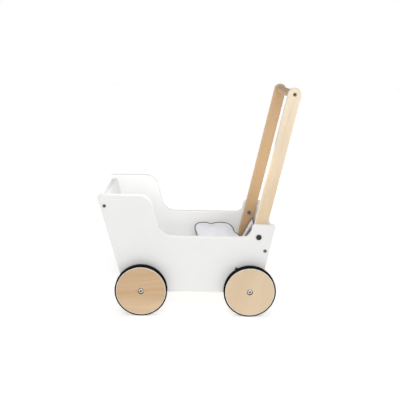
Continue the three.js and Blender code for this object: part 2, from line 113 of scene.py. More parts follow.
class Wire:
    """A value in a node tree. Arithmetic on it adds the nodes that work it out."""

    def __init__(self, tree, socket):
        self.tree = tree
        self.socket = socket

    def math(self, operation, *others, clamp=False):
        made = self.tree.nodes.new("ShaderNodeMath")
        made.operation = operation
        made.use_clamp = clamp
        for i, value in enumerate((self, *others)):
            feed(self.tree, made.inputs[i], value)
        return Wire(self.tree, made.outputs[0])

    def __add__(self, other):
        return self.math("ADD", other)

    def __sub__(self, other):
        return self.math("SUBTRACT", other)

    def __mul__(self, other):
        return self.math("MULTIPLY", other)

    def __truediv__(self, other):
        return self.math("DIVIDE", other)

    def __mod__(self, other):
        return self.math("FLOORED_MODULO", other)

    def between(self, low, high, out_low=0.0, out_high=1.0):
        """0 below low, 1 above high, and smooth between them."""
        made = self.tree.nodes.new("ShaderNodeMapRange")
        made.interpolation_type = "SMOOTHSTEP"
        for i, value in enumerate((self, low, high, out_low, out_high)):
            feed(self.tree, made.inputs[i], value)
        return Wire(self.tree, made.outputs[0])


def feed(tree, socket, value):
    if isinstance(value, Wire):
        tree.links.new(value.socket, socket)
    else:
        socket.default_value = value


def add(tree, kind, output, inputs=None, **settings):
    """Adds a node, sets it up, and returns one of its outputs."""
    made = tree.nodes.new(kind)
    for name, value in settings.items():
        setattr(made, name, value)
    for name, value in (inputs or {}).items():
        feed(tree, made.inputs[name], value)
    return Wire(tree, made.outputs[output])


# ------------------------------------------------------------------ finishes


def new_finish(name, **fixed):
    """An empty finish: its material, its tree and its shader. Fixed values go on the shader."""
    material = bpy.data.materials.new(name)
    material.use_nodes = True
    tree = material.node_tree
    shader = tree.nodes["Principled BSDF"]
    for socket, value in fixed.items():
        shader.inputs[socket.replace("_", " ")].default_value = value
    return material, tree, shader


def own_place(tree, turn=(0, 0, 0), centre=(0, 0, 0)):
    """Object coordinates, turned and centred, in metres."""
    turned = Euler(turn).to_matrix() @ Vector(centre)
    return add(tree, "ShaderNodeMapping", "Vector", {
        "Vector": add(tree, "ShaderNodeTexCoord", "Object"),
        "Location": -turned,
        "Rotation": turn,
    })


def scaled(tree, place, factors):
    return add(tree, "ShaderNodeMapping", "Vector", {"Vector": place, "Scale": factors})


def noise(tree, place, scale, detail=2.0, rough=0.5, warp=0.0, seed=0.0):
    return add(tree, "ShaderNodeTexNoise", "Fac", {
        "Vector": place,
        "W": seed,
        "Scale": scale,
        "Detail": detail,
        "Roughness": rough,
        "Distortion": warp,
    }, noise_dimensions="4D")


def mix(tree, share, first, second, blend="MIX"):
    made = tree.nodes.new("ShaderNodeMix")
    made.data_type = "RGBA"
    made.blend_type = blend
    feed(tree, made.inputs[0], share)
    for i, value in ((6, first), (7, second)):
        feed(tree, made.inputs[i], value if isinstance(value, Wire) else (*value, 1))
    return Wire(tree, made.outputs[2])


def bump(tree, height, depth, strength=1.0, under=None):
    inputs = {"Height": height, "Distance": depth, "Strength": strength}
    if under:
        inputs["Normal"] = under
    return add(tree, "ShaderNodeBump", "Normal", inputs)


def attribute(tree, name):
    return add(tree, "ShaderNodeAttribute", "Fac", attribute_name=name)


def white_paint(name, seed):
    """Satin paint rolled on a board: a fine stipple, faint grain under it, softly worn edges."""
    white, cream = (0.825, 0.825, 0.818), (0.80, 0.80, 0.79)
    material, tree, shader = new_finish(name, Specular_IOR_Level=0.45)
    place = own_place(tree)
    clouds = noise(tree, place, 9, 3, seed=seed)
    grain = noise(tree, scaled(tree, place, (0.35, 1, 9)), 60, 3, 0.6, seed=seed)
    stipple = noise(tree, place, 900, 2, 0.6, seed=seed)
    worn = attribute(tree, "edge") * noise(tree, place, 120, 4, 0.65, seed=seed).between(0.52, 0.68)
    body = mix(tree, clouds.between(0.3, 0.7), cream, white)
    body = mix(tree, grain.between(0.45, 0.75, 0, 0.12), body, cream)
    colour = mix(tree, worn * 0.22, body, (0.72, 0.68, 0.60))
    feed(tree, shader.inputs["Base Color"], colour)
    sheen = stipple.between(0.3, 0.7, 0.34, 0.44) + clouds.between(0.3, 0.7, 0, 0.08)
    feed(tree, shader.inputs["Roughness"], sheen + worn * 0.2)
    under = bump(tree, grain, 0.00012, 0.25)
    feed(tree, shader.inputs["Normal"], bump(tree, stipple, 0.00005, 0.5, under))
    return material


def birch(name, seed, light, dark, turn, centre=(0, 0, 0), figure=1.0, plies=None, gloss=0.42,
          painted_edge_highlight=0.3, painted_shading=None, coat=0.1):
    """Lacquered birch, its grain along X once turned. Plies are the glued layers of a board's edge.
    The rounded edges get a paler painted highlight, and `painted_shading` is (axis, start, end, share)
    of painted light and shade that shifts the tone along one axis."""
    material, tree, shader = new_finish(name, Coat_Weight=coat, Coat_Roughness=0.3)
    place = own_place(tree, turn, centre)
    drift = noise(tree, scaled(tree, place, (0.5, 1, 1)), 11, 2, seed=seed)
    axes = add(tree, "ShaderNodeSeparateXYZ", "Z", {"Vector": place})
    across = axes + drift * 0.05
    along = Wire(tree, axes.socket.node.outputs["X"])
    depth = Wire(tree, axes.socket.node.outputs["Y"])
    bent = add(tree, "ShaderNodeCombineXYZ", "Vector", {"X": along * 0.05, "Y": depth, "Z": across})
    rings = noise(tree, bent, 95, 3, 0.55, seed=seed)
    bands = noise(tree, bent, 24, 2, 0.5, seed=seed + 3)
    fibres = noise(tree, scaled(tree, place, (0.03, 1, 1)), 900, 3, 0.7, seed=seed)
    pores = noise(tree, scaled(tree, place, (0.06, 1, 1)), 1500, 1, 0.5, seed=seed + 7)
    flecks = noise(tree, scaled(tree, place, (0.35, 1, 1)), 260, 2, 0.5, seed=seed + 5)
    tone = bands.between(0.3, 0.7, 0, 0.55) + rings.between(0.35, 0.75, 0, 0.45) * figure
    # painted light and shade: the tone is shifted darker towards one end of an axis and lighter towards
    # the other
    if painted_shading:
        axis, start, end, share = painted_shading
        place_on_axis = {"X": along, "Z": across}[axis]
        tone = tone + place_on_axis.between(start, end, share, -share)
    colour = mix(tree, tone.math("MAXIMUM", 0.0), light, dark)
    brown = tuple(0.62 * c for c in dark)
    colour = mix(tree, rings.between(0.62, 0.78, 0, 0.3) * figure, colour, brown)
    colour = mix(tree, fibres.between(0.45, 0.8, 0, 0.22), colour, brown)
    colour = mix(tree, pores.between(0.66, 0.74, 0, 0.30), colour, brown)
    colour = mix(tree, flecks.between(0.62, 0.72, 0, 0.10), colour, (1, 0.93, 0.82))
    # painted highlight: the rounded edges are painted paler
    edge_highlight_colour = tuple(1 - (1 - c) * 0.45 for c in light)
    colour = mix(tree, attribute(tree, "edge") * painted_edge_highlight, colour, edge_highlight_colour)
    if plies:
        layer = (depth / plies + 0.25) % 1.0
        glue = layer.between(0.86, 0.93) * 0.55
        cross = layer.between(0.45, 0.5) * 0.22
        on_edge = attribute(tree, "edge")
        colour = mix(tree, cross * on_edge, colour, brown)
        colour = mix(tree, glue * on_edge, colour, tuple(0.35 * c for c in dark))
    handled = attribute(tree, "edge") * noise(tree, place, 70, 3, seed=seed).between(0.5, 0.7)
    colour = mix(tree, handled * 0.16, colour, brown)
    # painted shade: the wood inside a counterbore is darkened
    colour = mix(tree, attribute(tree, "hollow") * 0.7, colour, tuple(0.2 * c for c in dark))
    feed(tree, shader.inputs["Base Color"], colour)
    shine = fibres.between(0.3, 0.7, gloss - 0.05, gloss + 0.07)
    feed(tree, shader.inputs["Roughness"], shine + pores.between(0.6, 0.75, 0, 0.12))
    under = bump(tree, rings, 0.00012, 0.3)
    relief = fibres * 0.6 + pores.between(0.62, 0.76, 0.4, 0)
    feed(tree, shader.inputs["Normal"], bump(tree, relief, 0.00006, 0.6, under))
    return material


def rubber(name, seed):
    """Matt black rubber with a trace of dust and rubbing on the tread."""
    material, tree, shader = new_finish(name, Specular_IOR_Level=0.04)
    place = own_place(tree)
    grit = noise(tree, place, 1400, 3, 0.6, seed=seed)
    dust = noise(tree, place, 45, 4, 0.7, seed=seed).between(0.55, 0.75)
    tread = attribute(tree, "edge")
    colour = mix(tree, grit.between(0.3, 0.8), (0.0012, 0.0012, 0.0014), (0.004, 0.004, 0.0042))
    colour = mix(tree, dust * 0.2 * tread, colour, (0.04, 0.038, 0.036))
    feed(tree, shader.inputs["Base Color"], colour)
    feed(tree, shader.inputs["Roughness"], grit.between(0.3, 0.7, 0.5, 0.66) + dust * 0.15)
    feed(tree, shader.inputs["Normal"], bump(tree, grit, 0.00008, 0.5))
    return material


def metal(name, seed, light, dark, smooth, metallic, worn):
    """Turned metal: fine rings from the lathe, small scuffs, and edges rubbed towards `worn`; on the
    dark zinc this bright rubbing is also a painted glint.
    """
    material, tree, shader = new_finish(name, Metallic=metallic)
    place = own_place(tree)
    reach = attribute(tree, "reach")
    lathe = noise(tree, add(tree, "ShaderNodeCombineXYZ", "Vector", {"X": reach}), 9000, 2, seed=seed)
    scuffs = noise(tree, place, 1100, 4, 0.7, seed=seed)
    stains = noise(tree, place, 260, 2, seed=seed)
    # rubbed rims: real wear, and on the dark zinc also a painted glint
    wear_and_glint = attribute(tree, "rim") * scuffs.between(0.35, 0.6)
    hollow = attribute(tree, "hollow")
    colour = mix(tree, stains.between(0.35, 0.7), light, dark)
    colour = mix(tree, wear_and_glint * 0.7, colour, worn)
    # painted shade: the floor of a hexagon socket is darkened almost to black
    colour = mix(tree, hollow * 0.9, colour, (0.02, 0.02, 0.022))
    feed(tree, shader.inputs["Base Color"], colour)
    sheen = scuffs.between(0.3, 0.75, smooth, smooth + 0.14) + lathe.between(0.3, 0.7, 0, 0.06)
    feed(tree, shader.inputs["Roughness"], sheen)
    under = bump(tree, lathe, 0.00002, 0.5)
    feed(tree, shader.inputs["Normal"], bump(tree, scuffs, 0.00002, 0.4, under))
    return material


def nylon(name, seed):
    """Natural moulded nylon, slightly milky and scuffed."""
    material, tree, shader = new_finish(name, Subsurface_Weight=0.1, Subsurface_Scale=0.001)
    place = own_place(tree)
    milk = noise(tree, place, 180, 3, seed=seed)
    scuffs = noise(tree, place, 1300, 3, 0.65, seed=seed)
    colour = mix(tree, milk.between(0.3, 0.7), (0.74, 0.73, 0.69), (0.80, 0.79, 0.76))
    feed(tree, shader.inputs["Base Color"], mix(tree, scuffs.between(0.6, 0.8, 0, 0.25), colour,
                                                (0.6, 0.59, 0.56)))
    feed(tree, shader.inputs["Roughness"], scuffs.between(0.3, 0.7, 0.42, 0.58))
    feed(tree, shader.inputs["Normal"], bump(tree, scuffs, 0.00004, 0.4))
    return material


# ------------------------------------------------------------------ meshes


def rounded_outline(corners, step=math.radians(6)):
    """Points and outward normals round an outline. Each corner is (x, z, radius), going round
    anticlockwise, so that the inside is on the left."""
    path = []
    for i, (x, z, radius) in enumerate(corners):
        corner = Vector((x, z))
        back = (Vector(corners[i - 1][:2]) - corner).normalized()
        ahead = (Vector(corners[(i + 1) % len(corners)][:2]) - corner).normalized()
        leave = Vector((-back.y, back.x))
        enter = Vector((ahead.y, -ahead.x))
        if radius == 0:
            path.append((corner, (leave + enter) / (1 + leave.dot(enter))))
            continue
        half = math.acos(max(-1, min(1, back.dot(ahead)))) / 2
        centre = corner + (back + ahead).normalized() * radius / math.sin(half)
        start = corner + back * radius / math.tan(half) - centre
        sweep = start.angle_signed(corner + ahead * radius / math.tan(half) - centre)
        count = max(3, math.ceil(abs(sweep) / step))
        side = 1 if sweep < 0 else -1
        for k in range(count + 1):
            spoke = start.copy()
            spoke.rotate(Matrix.Rotation(-sweep * k / count, 2))
            path.append((centre + spoke, spoke.normalized() * side))
    return path


def ring_of(mesh, points):
    return [mesh.verts.new(p) for p in points]


def band(mesh, first, second):
    """A strip of faces between two closed rings of as many points."""
    count = len(first)
    for i in range(count):
        j = (i + 1) % count
        mesh.faces.new((first[i], first[j], second[j], second[i]))


def loop_edges(mesh, ring):
    return [mesh.edges.get((a, b)) or mesh.edges.new((a, b)) for a, b in zip(ring, ring[1:] + ring[:1])]


def quarter(radius, steps=4):
    """(inset, depth) down a rounded edge, from the face to the side."""
    turns = [math.pi / 2 * k / steps for k in range(steps + 1)]
    return [(radius * (1 - math.sin(t)), radius * (1 - math.cos(t))) for t in turns]


def board(name, outline, outer, inner, edge, bores=(), place=None):
    """A board with its two faces square to Y, from y = outer to y = inner, and rounded edges.

    A bore is (x, z, steps): steps are the (radius, depth) of its wall, from the outer face in. Its
    last step goes through to the inner face. All in millimetres."""
    mesh = bmesh.new()
    worn = mesh.verts.layers.float.new("edge")
    inwards = 1 if inner > outer else -1
    thickness = abs(inner - outer)
    levels = quarter(edge)
    levels += [(inset, thickness - depth) for inset, depth in reversed(quarter(edge))]
    rings = []
    for inset, depth in levels:
        y = outer + inwards * depth
        rings.append(ring_of(mesh, [(p.x - n.x * inset, y, p.y - n.y * inset) for p, n in outline]))
    for ring in rings[1:-1]:
        for vert in ring:
            vert[worn] = 1.0
    for first, second in zip(rings, rings[1:]):
        band(mesh, first, second)
    outer_loops, inner_loops = [rings[0]], [rings[-1]]
    for x, z, steps in bores:
        walls = []
        for radius, depth in steps:
            y = outer + inwards * depth
            spokes = [2 * math.pi * k / 40 for k in range(40)]
            circle = [(x + radius * math.cos(a), y, z + radius * math.sin(a)) for a in spokes]
            walls.append(ring_of(mesh, circle))
        for first, second in zip(walls, walls[1:]):
            band(mesh, first, second)
        outer_loops.append(walls[0])
        inner_loops.append(walls[-1])
    for loops in (outer_loops, inner_loops):
        edges = [e for loop in loops for e in loop_edges(mesh, loop)]
        bmesh.ops.triangle_fill(mesh, use_beauty=True, edges=edges)
    bmesh.ops.recalc_face_normals(mesh, faces=mesh.faces)
    return finished(name, mesh, place)


def bore_steps(steps, thickness, lip=0.35):
    """Wall of a stepped hole through a board, with its rim eased by a small radius."""
    radius, _ = steps[0]
    wall = [(radius + inset, depth) for inset, depth in quarter(lip, 3)]
    for (above, depth), (below, _) in zip(steps, steps[1:]):
        wall += [(above, depth), (below, depth)]
    last = steps[-1][0]
    wall += [(last + inset, thickness - depth) for inset, depth in reversed(quarter(0.2, 2))]
    return wall


def screw_bore(thickness):
    """Wall of a screw's hole: room for its head, then for its shank."""
    head_room = (SCREW_HEAD_R + GAP, SCREW_HEAD_HEIGHT + SCREW_SUNK + GAP)
    return bore_steps([head_room, (SCREW_SHANK_R + GAP, 0)], thickness)


def spun(name, profile, centre, facing, segments=96, worn=(), recess_shade_r=0):
    """A turned piece about a line along Y. The profile is a closed run of (radius, depth) points,
    depth from the outer face inwards. `worn` are the spans of radius that count as its edge, and
    what lies within `recess_shade_r` is marked as a recess, for painted shade."""
    mesh = bmesh.new()
    edge, hollow = (mesh.verts.layers.float.new(label) for label in ("edge", "hollow"))
    x, y, z = centre
    rings = []
    for radius, depth in profile:
        spokes = [2 * math.pi * k / segments for k in range(segments)]
        ring = ring_of(mesh, [
            (x + radius * math.cos(a), y - facing * depth, z + radius * math.sin(a)) for a in spokes
        ])
        for vert in ring:
            vert[edge] = 1.0 if any(low <= radius <= high for low, high in worn) else 0.0
            vert[hollow] = 1.0 if radius <= recess_shade_r else 0.0
        rings.append(ring)
    for first, second in zip(rings, rings[1:] + rings[:1]):
        band(mesh, first, second)
    bmesh.ops.recalc_face_normals(mesh, faces=mesh.faces)
    return finished(name, mesh)


def finished(name, mesh, place=None):
    """An object from a bmesh in millimetres, smooth shaded with level faces kept level."""
    data = bpy.data.meshes.new(name)
    mesh.to_mesh(data)
    mesh.free()
    data.transform(Matrix.Scale(MM, 4))
    if place:
        data.transform(place)
    piece = bpy.data.objects.new(name, data)
    scene.collection.objects.link(piece)
    return smooth(piece)


def smooth(piece, angle=35):
    """Smooth shading, with sharp edges kept and large faces level."""
    piece.data.shade_smooth()
    piece.data.set_sharp_from_angle(angle=math.radians(angle))
    level = piece.modifiers.new("level_faces", "WEIGHTED_NORMAL")
    level.keep_sharp = True
    return settled(piece)


def settled(piece):
    """Makes what the piece's modifiers show its plain mesh, and removes them."""
    depsgraph = bpy.context.evaluated_depsgraph_get()
    shown = piece.evaluated_get(depsgraph)
    data = bpy.data.meshes.new_from_object(shown, preserve_all_data_layers=True, depsgraph=depsgraph)
    piece.modifiers.clear()
    old = piece.data
    piece.data = data
    data.name = piece.name
    bpy.data.meshes.remove(old)
    return piece


def fit(piece, body, material_slot, material, *replaced):
    """Gives a piece its finish and its body, and hides the CAD nodes that it stands for."""
    if material:
        piece.data.materials.clear()
        piece.data.materials.append(material)
    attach(piece, body)
    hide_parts(*replaced)
    return piece


def box_mm(node):
    low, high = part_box(node)
    return low / MM, high / MM


def middle_mm(node):
    low, high = box_mm(node)
    return (low + high) / 2


def width_mm(node):
    low, high = box_mm(node)
    return high.y - low.y


# ------------------------------------------------------------------ painted boards

front_slope = math.tan(FRONT_ANGLE)
rear_slope = math.tan(REAR_ANGLE)


def front_edge(z, inset=0):
    return HOOD_FRONT_X + (HOOD_TOP - z) * front_slope + inset / math.cos(FRONT_ANGLE)


def rear_edge(z, inset=0):
    return EAR_REAR_X - (EAR_TOP - z) * rear_slope - inset / math.cos(REAR_ANGLE)


def hood_back(z):
    return HOOD_CURVE_X + ((HOOD_TOP + RIM) / 2 - z) * front_slope


def ear_front(z):
    return EAR_FRONT_X + (z - (EAR_TOP + RIM) / 2) * rear_slope


def side_outline():
    """A side board, with a tall hood at the front, a low rim and a small ear at the rear."""
    return rounded_outline([
        (front_edge(BOARD_BOTTOM), BOARD_BOTTOM, 10),
        (rear_edge(BOARD_BOTTOM), BOARD_BOTTOM, 10),
        (EAR_REAR_X, EAR_TOP, 4.5),
        (ear_front(EAR_TOP), EAR_TOP, 7.5),
        (ear_front(RIM), RIM, 17.5),
        (hood_back(RIM), RIM, 37),
        (hood_back(HOOD_TOP), HOOD_TOP, 33),
        (HOOD_FRONT_X, HOOD_TOP, 8.5),
    ], math.radians(4))


def make_boards():
    sleeve_bore = bore_steps([(SLEEVE_R + GAP, 0)], BOARD_THICKNESS)
    axle_bore = bore_steps([(AXLE_BOLT_R + GAP, 0)], BOARD_THICKNESS)
    for side, sign in SIDES.items():
        low, high = box_mm(f"side_panel_{side}")
        outer, inner = (high.y, low.y) if sign > 0 else (low.y, high.y)
        bores = []
        for screw in BOARD_SCREWS:
            at = middle_mm(f"screw_{screw}_{side}")
            bores.append((at.x, at.z, screw_bore(BOARD_THICKNESS)))
        at = middle_mm(f"arm_bolt_{side}")
        bores.append((at.x, at.z, sleeve_bore))
        for end in ENDS:
            at = middle_mm(f"axle_bolt_{end}_{side}")
            bores.append((at.x, at.z, axle_bore))
        panel = board(f"side_board_{side}", side_outline(), outer, inner, BOARD_EDGE, bores)
        paint = white_paint(f"satin_white_{side}", 2.0 + sign)
        fit(panel, "carriage", "white_paint", paint, f"side_panel_{side}")
    make_cross_boards()


def make_cross_boards():
    """The front, rear and floor boards, which fill the width between the sides."""
    near, far = CROSS_SETBACK, CROSS_SETBACK + BOARD_THICKNESS
    low, high = box_mm("front_panel")
    span = (low.y, high.y)
    front = [(front_edge(z, inset), z, CROSS_EDGE) for inset, z in (
        (near, low.z), (far, low.z), (far, high.z), (near, high.z))]
    low, high = box_mm("rear_panel")
    rear = [(rear_edge(z, inset), z, CROSS_EDGE) for inset, z in (
        (far, low.z), (near, low.z), (near, high.z), (far, high.z))]
    floor_low = FLOOR_TOP - BOARD_THICKNESS
    floor = [(edge(z, far + GAP), z, FLOOR_EDGE) for edge, z in (
        (front_edge, floor_low), (rear_edge, floor_low),
        (rear_edge, FLOOR_TOP), (front_edge, FLOOR_TOP))]
    for label, corners, edge, seed in (("front", front, CROSS_EDGE, 5.0),
                                       ("rear", rear, CROSS_EDGE, 6.0),
                                       ("floor", floor, FLOOR_EDGE, 7.0)):
        paint = white_paint(f"satin_white_{label}", seed)
        piece = board(f"{label}_board", rounded_outline(corners), *span, edge)
        fit(piece, "carriage", "white_paint", paint, f"{label}_panel")


# ------------------------------------------------------------------ wheels

WHEEL_LOOKS = {
    # grain's angle in degrees, light wood, dark wood, figure
    "front_left": (4, (0.655, 0.48, 0.305), (0.55, 0.355, 0.19), 1.0),
    "rear_left": (78, (0.71, 0.56, 0.385), (0.64, 0.48, 0.305), 0.6),
    "front_right": (35, (0.72, 0.54, 0.345), (0.62, 0.43, 0.26), 0.9),
    "rear_right": (120, (0.75, 0.58, 0.385), (0.65, 0.48, 0.30), 0.8),
}


def make_wheels():
    for side, sign in SIDES.items():
        for end in ENDS:
            make_wheel(f"{end}_{side}", sign)


def make_wheel(suffix, sign):
    low, high = box_mm(f"wheel_disc_{suffix}")
    centre = (low + high) / 2
    radius = (high.z - low.z) / 2
    thickness = high.y - low.y
    face = Vector((centre.x, centre.y + sign * thickness / 2, centre.z))
    disc = [(p.x, p.y) for p, _ in rounded_outline([
        (BUSH_BORE_R, COUNTERBORE_DEPTH, 0.3),
        (COUNTERBORE_R, COUNTERBORE_DEPTH, 0.3),
        (COUNTERBORE_R, 0, 0.5),
        (radius, 0, DISC_EDGE),
        (radius, thickness, DISC_EDGE),
        (BUSH_BORE_R, thickness, 0.5),
    ], math.radians(18))]
    angle, light, dark, figure = WHEEL_LOOKS[suffix]
    # painted highlight: the disc's rounded rim is painted pale; painted light and shade: the disc is
    # lighter towards one side and darker towards the other
    wood = birch(f"wheel_birch_{suffix}", 11.0 + angle, light, dark, (0, math.radians(angle), 0),
                 face * MM, figure, plies=1.4 * MM, painted_edge_highlight=1.0,
                 painted_shading=("Z", -0.05, 0.05, -0.3))
    worn = [(radius - DISC_EDGE + 0.05, radius)]
    # the counterbore is marked for painted shade
    piece = spun(f"disc_{suffix}", disc, face, sign, 112, worn, COUNTERBORE_R + 0.1)
    fit(piece, f"wheel_{suffix}", "wheel_birch", wood, f"wheel_disc_{suffix}")
    low, high = box_mm(f"tyre_{suffix}")
    tread = (high.z - low.z) / 2
    width = high.y - low.y
    start = (thickness - width) / 2
    bead = radius + GAP
    tyre = [(p.x, p.y) for p, _ in rounded_outline([
        (bead, start, 0.4),
        (tread, start, 0.8),
        (tread, start + width, 0.8),
        (bead, start + width, 0.4),
    ], math.radians(18))]
    piece = spun(f"rubber_tyre_{suffix}", tyre, face, sign, 112, [(tread - 0.2, tread + 1)])
    black = rubber(f"matt_rubber_{suffix}", 3.0 + angle)
    fit(piece, f"wheel_{suffix}", "tyre_rubber", black, f"tyre_{suffix}")


def make_beams():
    for i, end in enumerate(ENDS):
        low, high = box_mm(f"axle_beam_{end}")
        corners = [(x, z, BEAM_CORNER_R) for x, z in (
            (low.x, low.z), (high.x, low.z), (high.x, high.z), (low.x, high.z))]
        piece = board(f"beam_{end}", rounded_outline(corners), low.y, high.y, BEAM_EDGE)
        wood = birch(f"planed_birch_{end}", 31.0 + i, (0.70, 0.56, 0.38), (0.58, 0.43, 0.27),
                     (0, 0, -math.pi / 2), gloss=0.6)
        fit(piece, "carriage", "beam_wood", wood, f"axle_beam_{end}")


# ------------------------------------------------------------------ handle

ARM_LOOKS = {
    # light wood, dark wood, and how much painted light lightens it towards its top
    "left": ((0.905, 0.77, 0.585), (0.71, 0.55, 0.36), 0.6),
    "right": ((0.595, 0.39, 0.215), (0.525, 0.33, 0.165), 0.1),
}


def make_handle():
    dowel_at = middle_mm("handle_dowel")
    arm_direction = Vector((math.sin(ARM_LEAN), 0, math.cos(ARM_LEAN)))
    for side, sign in SIDES.items():
        low, high = box_mm(f"handle_arm_{side}")
        bolt_at = middle_mm(f"arm_bolt_{side}")
        outer, inner = (high.y, low.y) if sign > 0 else (low.y, high.y)
        half = ARM_WIDTH / 2
        reach = (dowel_at - Vector((bolt_at.x, 0, bolt_at.z))).dot(arm_direction)
        lowest_corner = ARM_FOOT_CORNER_R + (half - ARM_FOOT_CORNER_R) * arm_direction.x
        foot = (bolt_at.z - low.z - lowest_corner) / arm_direction.z + ARM_FOOT_CORNER_R
        outline = rounded_outline([
            (-half, -foot, ARM_FOOT_CORNER_R),
            (half, -foot, ARM_FOOT_CORNER_R),
            (half, reach + half, half),
            (-half, reach + half, half),
        ])
        thickness = abs(outer - inner)
        bores = [(0, reach, screw_bore(thickness)),
                 (0, 0, bore_steps([(SLEEVE_R + GAP, 0)], thickness))]
        place = Matrix.Translation((bolt_at.x * MM, 0, bolt_at.z * MM))
        place @= Matrix.Rotation(ARM_LEAN, 4, "Y")
        piece = board(f"arm_{side}", outline, outer, inner, ARM_EDGE, bores, place)
        # painted light: each arm's wood is lighter towards its top end and darker towards its foot
        light, dark, drift = ARM_LOOKS[side]
        wood = birch(f"arm_birch_{side}", 51.0 + sign, light, dark,
                     (0, math.pi / 2 - ARM_LEAN, 0), figure=0.6,
                     painted_shading=("X", 0.25, 0.60, drift))
        fit(piece, "carriage", "handle_birch", wood, f"handle_arm_{side}")
    low, high = box_mm("handle_dowel")
    radius = (high.x - low.x) / 2
    ends = rounded_outline([(1.9, 0, 0.2), (radius, 0, 1), (radius, high.y - low.y, 1),
                            (1.9, high.y - low.y, 0.2)], math.radians(18))
    profile = [(p.x, p.y) for p, _ in ends]
    piece = spun("dowel", profile, Vector((dowel_at.x, high.y, dowel_at.z)), 1, 64,
                 [(radius - 0.9, radius - 0.02)])
    # painted shade: the dowel's wood is made darker to stand in for the shade it sits in between the
    # arms
    wood = birch("dowel_birch", 61.0, (0.60, 0.42, 0.25), (0.50, 0.33, 0.19),
                 (0, 0, -math.pi / 2), figure=0.7, gloss=0.6, painted_edge_highlight=0.0, coat=0.0)
    fit(piece, "carriage", "handle_birch", wood, "handle_dowel")


# ------------------------------------------------------------------ fasteners


def new_growth(name, sizes):
    """An empty geometry tree with named number inputs, and each input as a wire."""
    tree = bpy.data.node_groups.new(name, "GeometryNodeTree")
    tree.interface.new_socket("Geometry", in_out="INPUT", socket_type="NodeSocketGeometry")
    tree.interface.new_socket("Geometry", in_out="OUTPUT", socket_type="NodeSocketGeometry")
    for size in sizes:
        tree.interface.new_socket(size, in_out="INPUT", socket_type="NodeSocketFloat")
    tree.interface.new_socket("Seed", in_out="INPUT", socket_type="NodeSocketInt")
    tree.interface.new_socket("Finish", in_out="INPUT", socket_type="NodeSocketMaterial")
    start = tree.nodes.new("NodeGroupInput")
    return tree, {s.name: Wire(tree, s) for s in start.outputs if s.name}


def end_growth(tree, geometry, given):
    """Every tree ends alike: real geometry with its finish set."""
    real = add(tree, "GeometryNodeRealizeInstances", "Geometry", {"Geometry": geometry})
    finish = add(tree, "GeometryNodeSetMaterial", "Geometry",
                 {"Geometry": real, "Material": given["Finish"]})
    feed(tree, tree.nodes.new("NodeGroupOutput").inputs[0], finish)


def pick(tree, index, values):
    """The value at an index, from a list of numbers and wires."""
    made = tree.nodes.new("GeometryNodeIndexSwitch")
    made.data_type = "FLOAT"
    while len(made.index_switch_items) < len(values):
        made.index_switch_items.new()
    feed(tree, made.inputs["Index"], index)
    for i, value in enumerate(values):
        feed(tree, made.inputs[i + 1], value)
    return Wire(tree, made.outputs[0])


def turned_growth(name, sizes, profile, segments=36):
    """A tree that turns a profile about Y at each point of its object. The profile is a function
    from the sizes to rows of (radius, height, hexagon share, rim share). Its rims are stored for the
    finish, and the floor of a hexagon socket is marked for painted shade."""
    tree, given = new_growth(name, sizes)
    rows = profile(given)
    grid = add(tree, "GeometryNodeMeshGrid", "Mesh",
               {"Size X": 1.0, "Size Y": 1.0, "Vertices X": len(rows), "Vertices Y": segments + 1})
    index = add(tree, "GeometryNodeInputIndex", "Index")
    row = (index / (segments + 1)).math("FLOOR")
    turn = (index % (segments + 1)) * (2 * math.pi / segments)
    radius, height, hexagon, rim = (pick(tree, row, [r[k] for r in rows]) for k in range(4))
    sector = (turn % (math.pi / 3)) - math.pi / 6
    flat = sector.math("COSINE").math("POWER", -1.0) * math.cos(math.pi / 6)
    reach = radius * ((flat - 1.0) * hexagon + 1.0)
    position = add(tree, "ShaderNodeCombineXYZ", "Vector",
                   {"X": reach * turn.math("COSINE"), "Y": height, "Z": reach * turn.math("SINE")})
    shape = add(tree, "GeometryNodeSetPosition", "Geometry",
                {"Geometry": grid, "Position": position})
    # painted shade: marks the floor of a hexagon socket for darkening
    hollow = hexagon.between(0.5, 0.9) * rim.between(0.5, 0.7, 1, 0)
    for label, value in (("reach", reach + height), ("rim", rim), ("hollow", hollow)):
        shape = add(tree, "GeometryNodeStoreNamedAttribute", "Geometry",
                    {"Geometry": shape, "Name": label, "Value": value},
                    data_type="FLOAT", domain="POINT")
    shape = add(tree, "GeometryNodeMergeByDistance", "Geometry",
                {"Geometry": shape, "Distance": 0.000004})
    facing = add(tree, "GeometryNodeInputNamedAttribute", "Attribute", {"Name": "facing"},
                 data_type="FLOAT")
    wrench = add(tree, "FunctionNodeRandomValue", 1, {"Seed": given["Seed"]}, data_type="FLOAT")
    rotation = add(tree, "ShaderNodeCombineXYZ", "Vector",
                   {"Y": wrench * (math.pi / 3), "Z": facing * math.pi})
    placed = add(tree, "GeometryNodeInstanceOnPoints", "Instances",
                 {"Points": given["Geometry"], "Instance": shape, "Rotation": rotation})
    end_growth(tree, placed, given)
    return tree


def socket_screw_profile(given):
    head, depth = given["Head Radius"], given["Socket Depth"]
    top, dome = given["Head Height"], given["Dome"]
    socket, shank = given["Socket Radius"], given["Shank Radius"]
    length, ease = given["Length"], given["Edge"]
    rows = [
        (0.0, depth + socket * 0.35, 1.0, 0.0),
        (socket * 0.5, depth + socket * 0.2, 1.0, 0.0),
        (socket - ease, depth, 1.0, 0.0),
        (socket, depth - ease, 1.0, 0.0),
        (socket, ease, 1.0, 0.6),
        (socket + ease * 0.5, ease * 0.25, 0.9, 1.0),
        (socket + ease * 1.6, 0.0, 0.25, 0.5),
    ]
    flat = socket + ease * 2.2
    for k in range(6):
        t = math.pi / 2 * k / 5
        rows.append((flat + (head - flat) * math.sin(t), dome * (1 - math.cos(t)), 0.0,
                     0.15 + 0.5 * (k > 3)))
    return rows + [
        (head, top - ease, 0.0, 0.6),
        (head - ease, top, 0.0, 0.2),
        (shank + ease, top, 0.0, 0.0),
        (shank, top + ease, 0.0, 0.0),
        (shank, length - shank * 0.6, 0.0, 0.0),
        (shank * 0.45, length, 0.0, 0.0),
        (0.0, length, 0.0, 0.0),
    ]


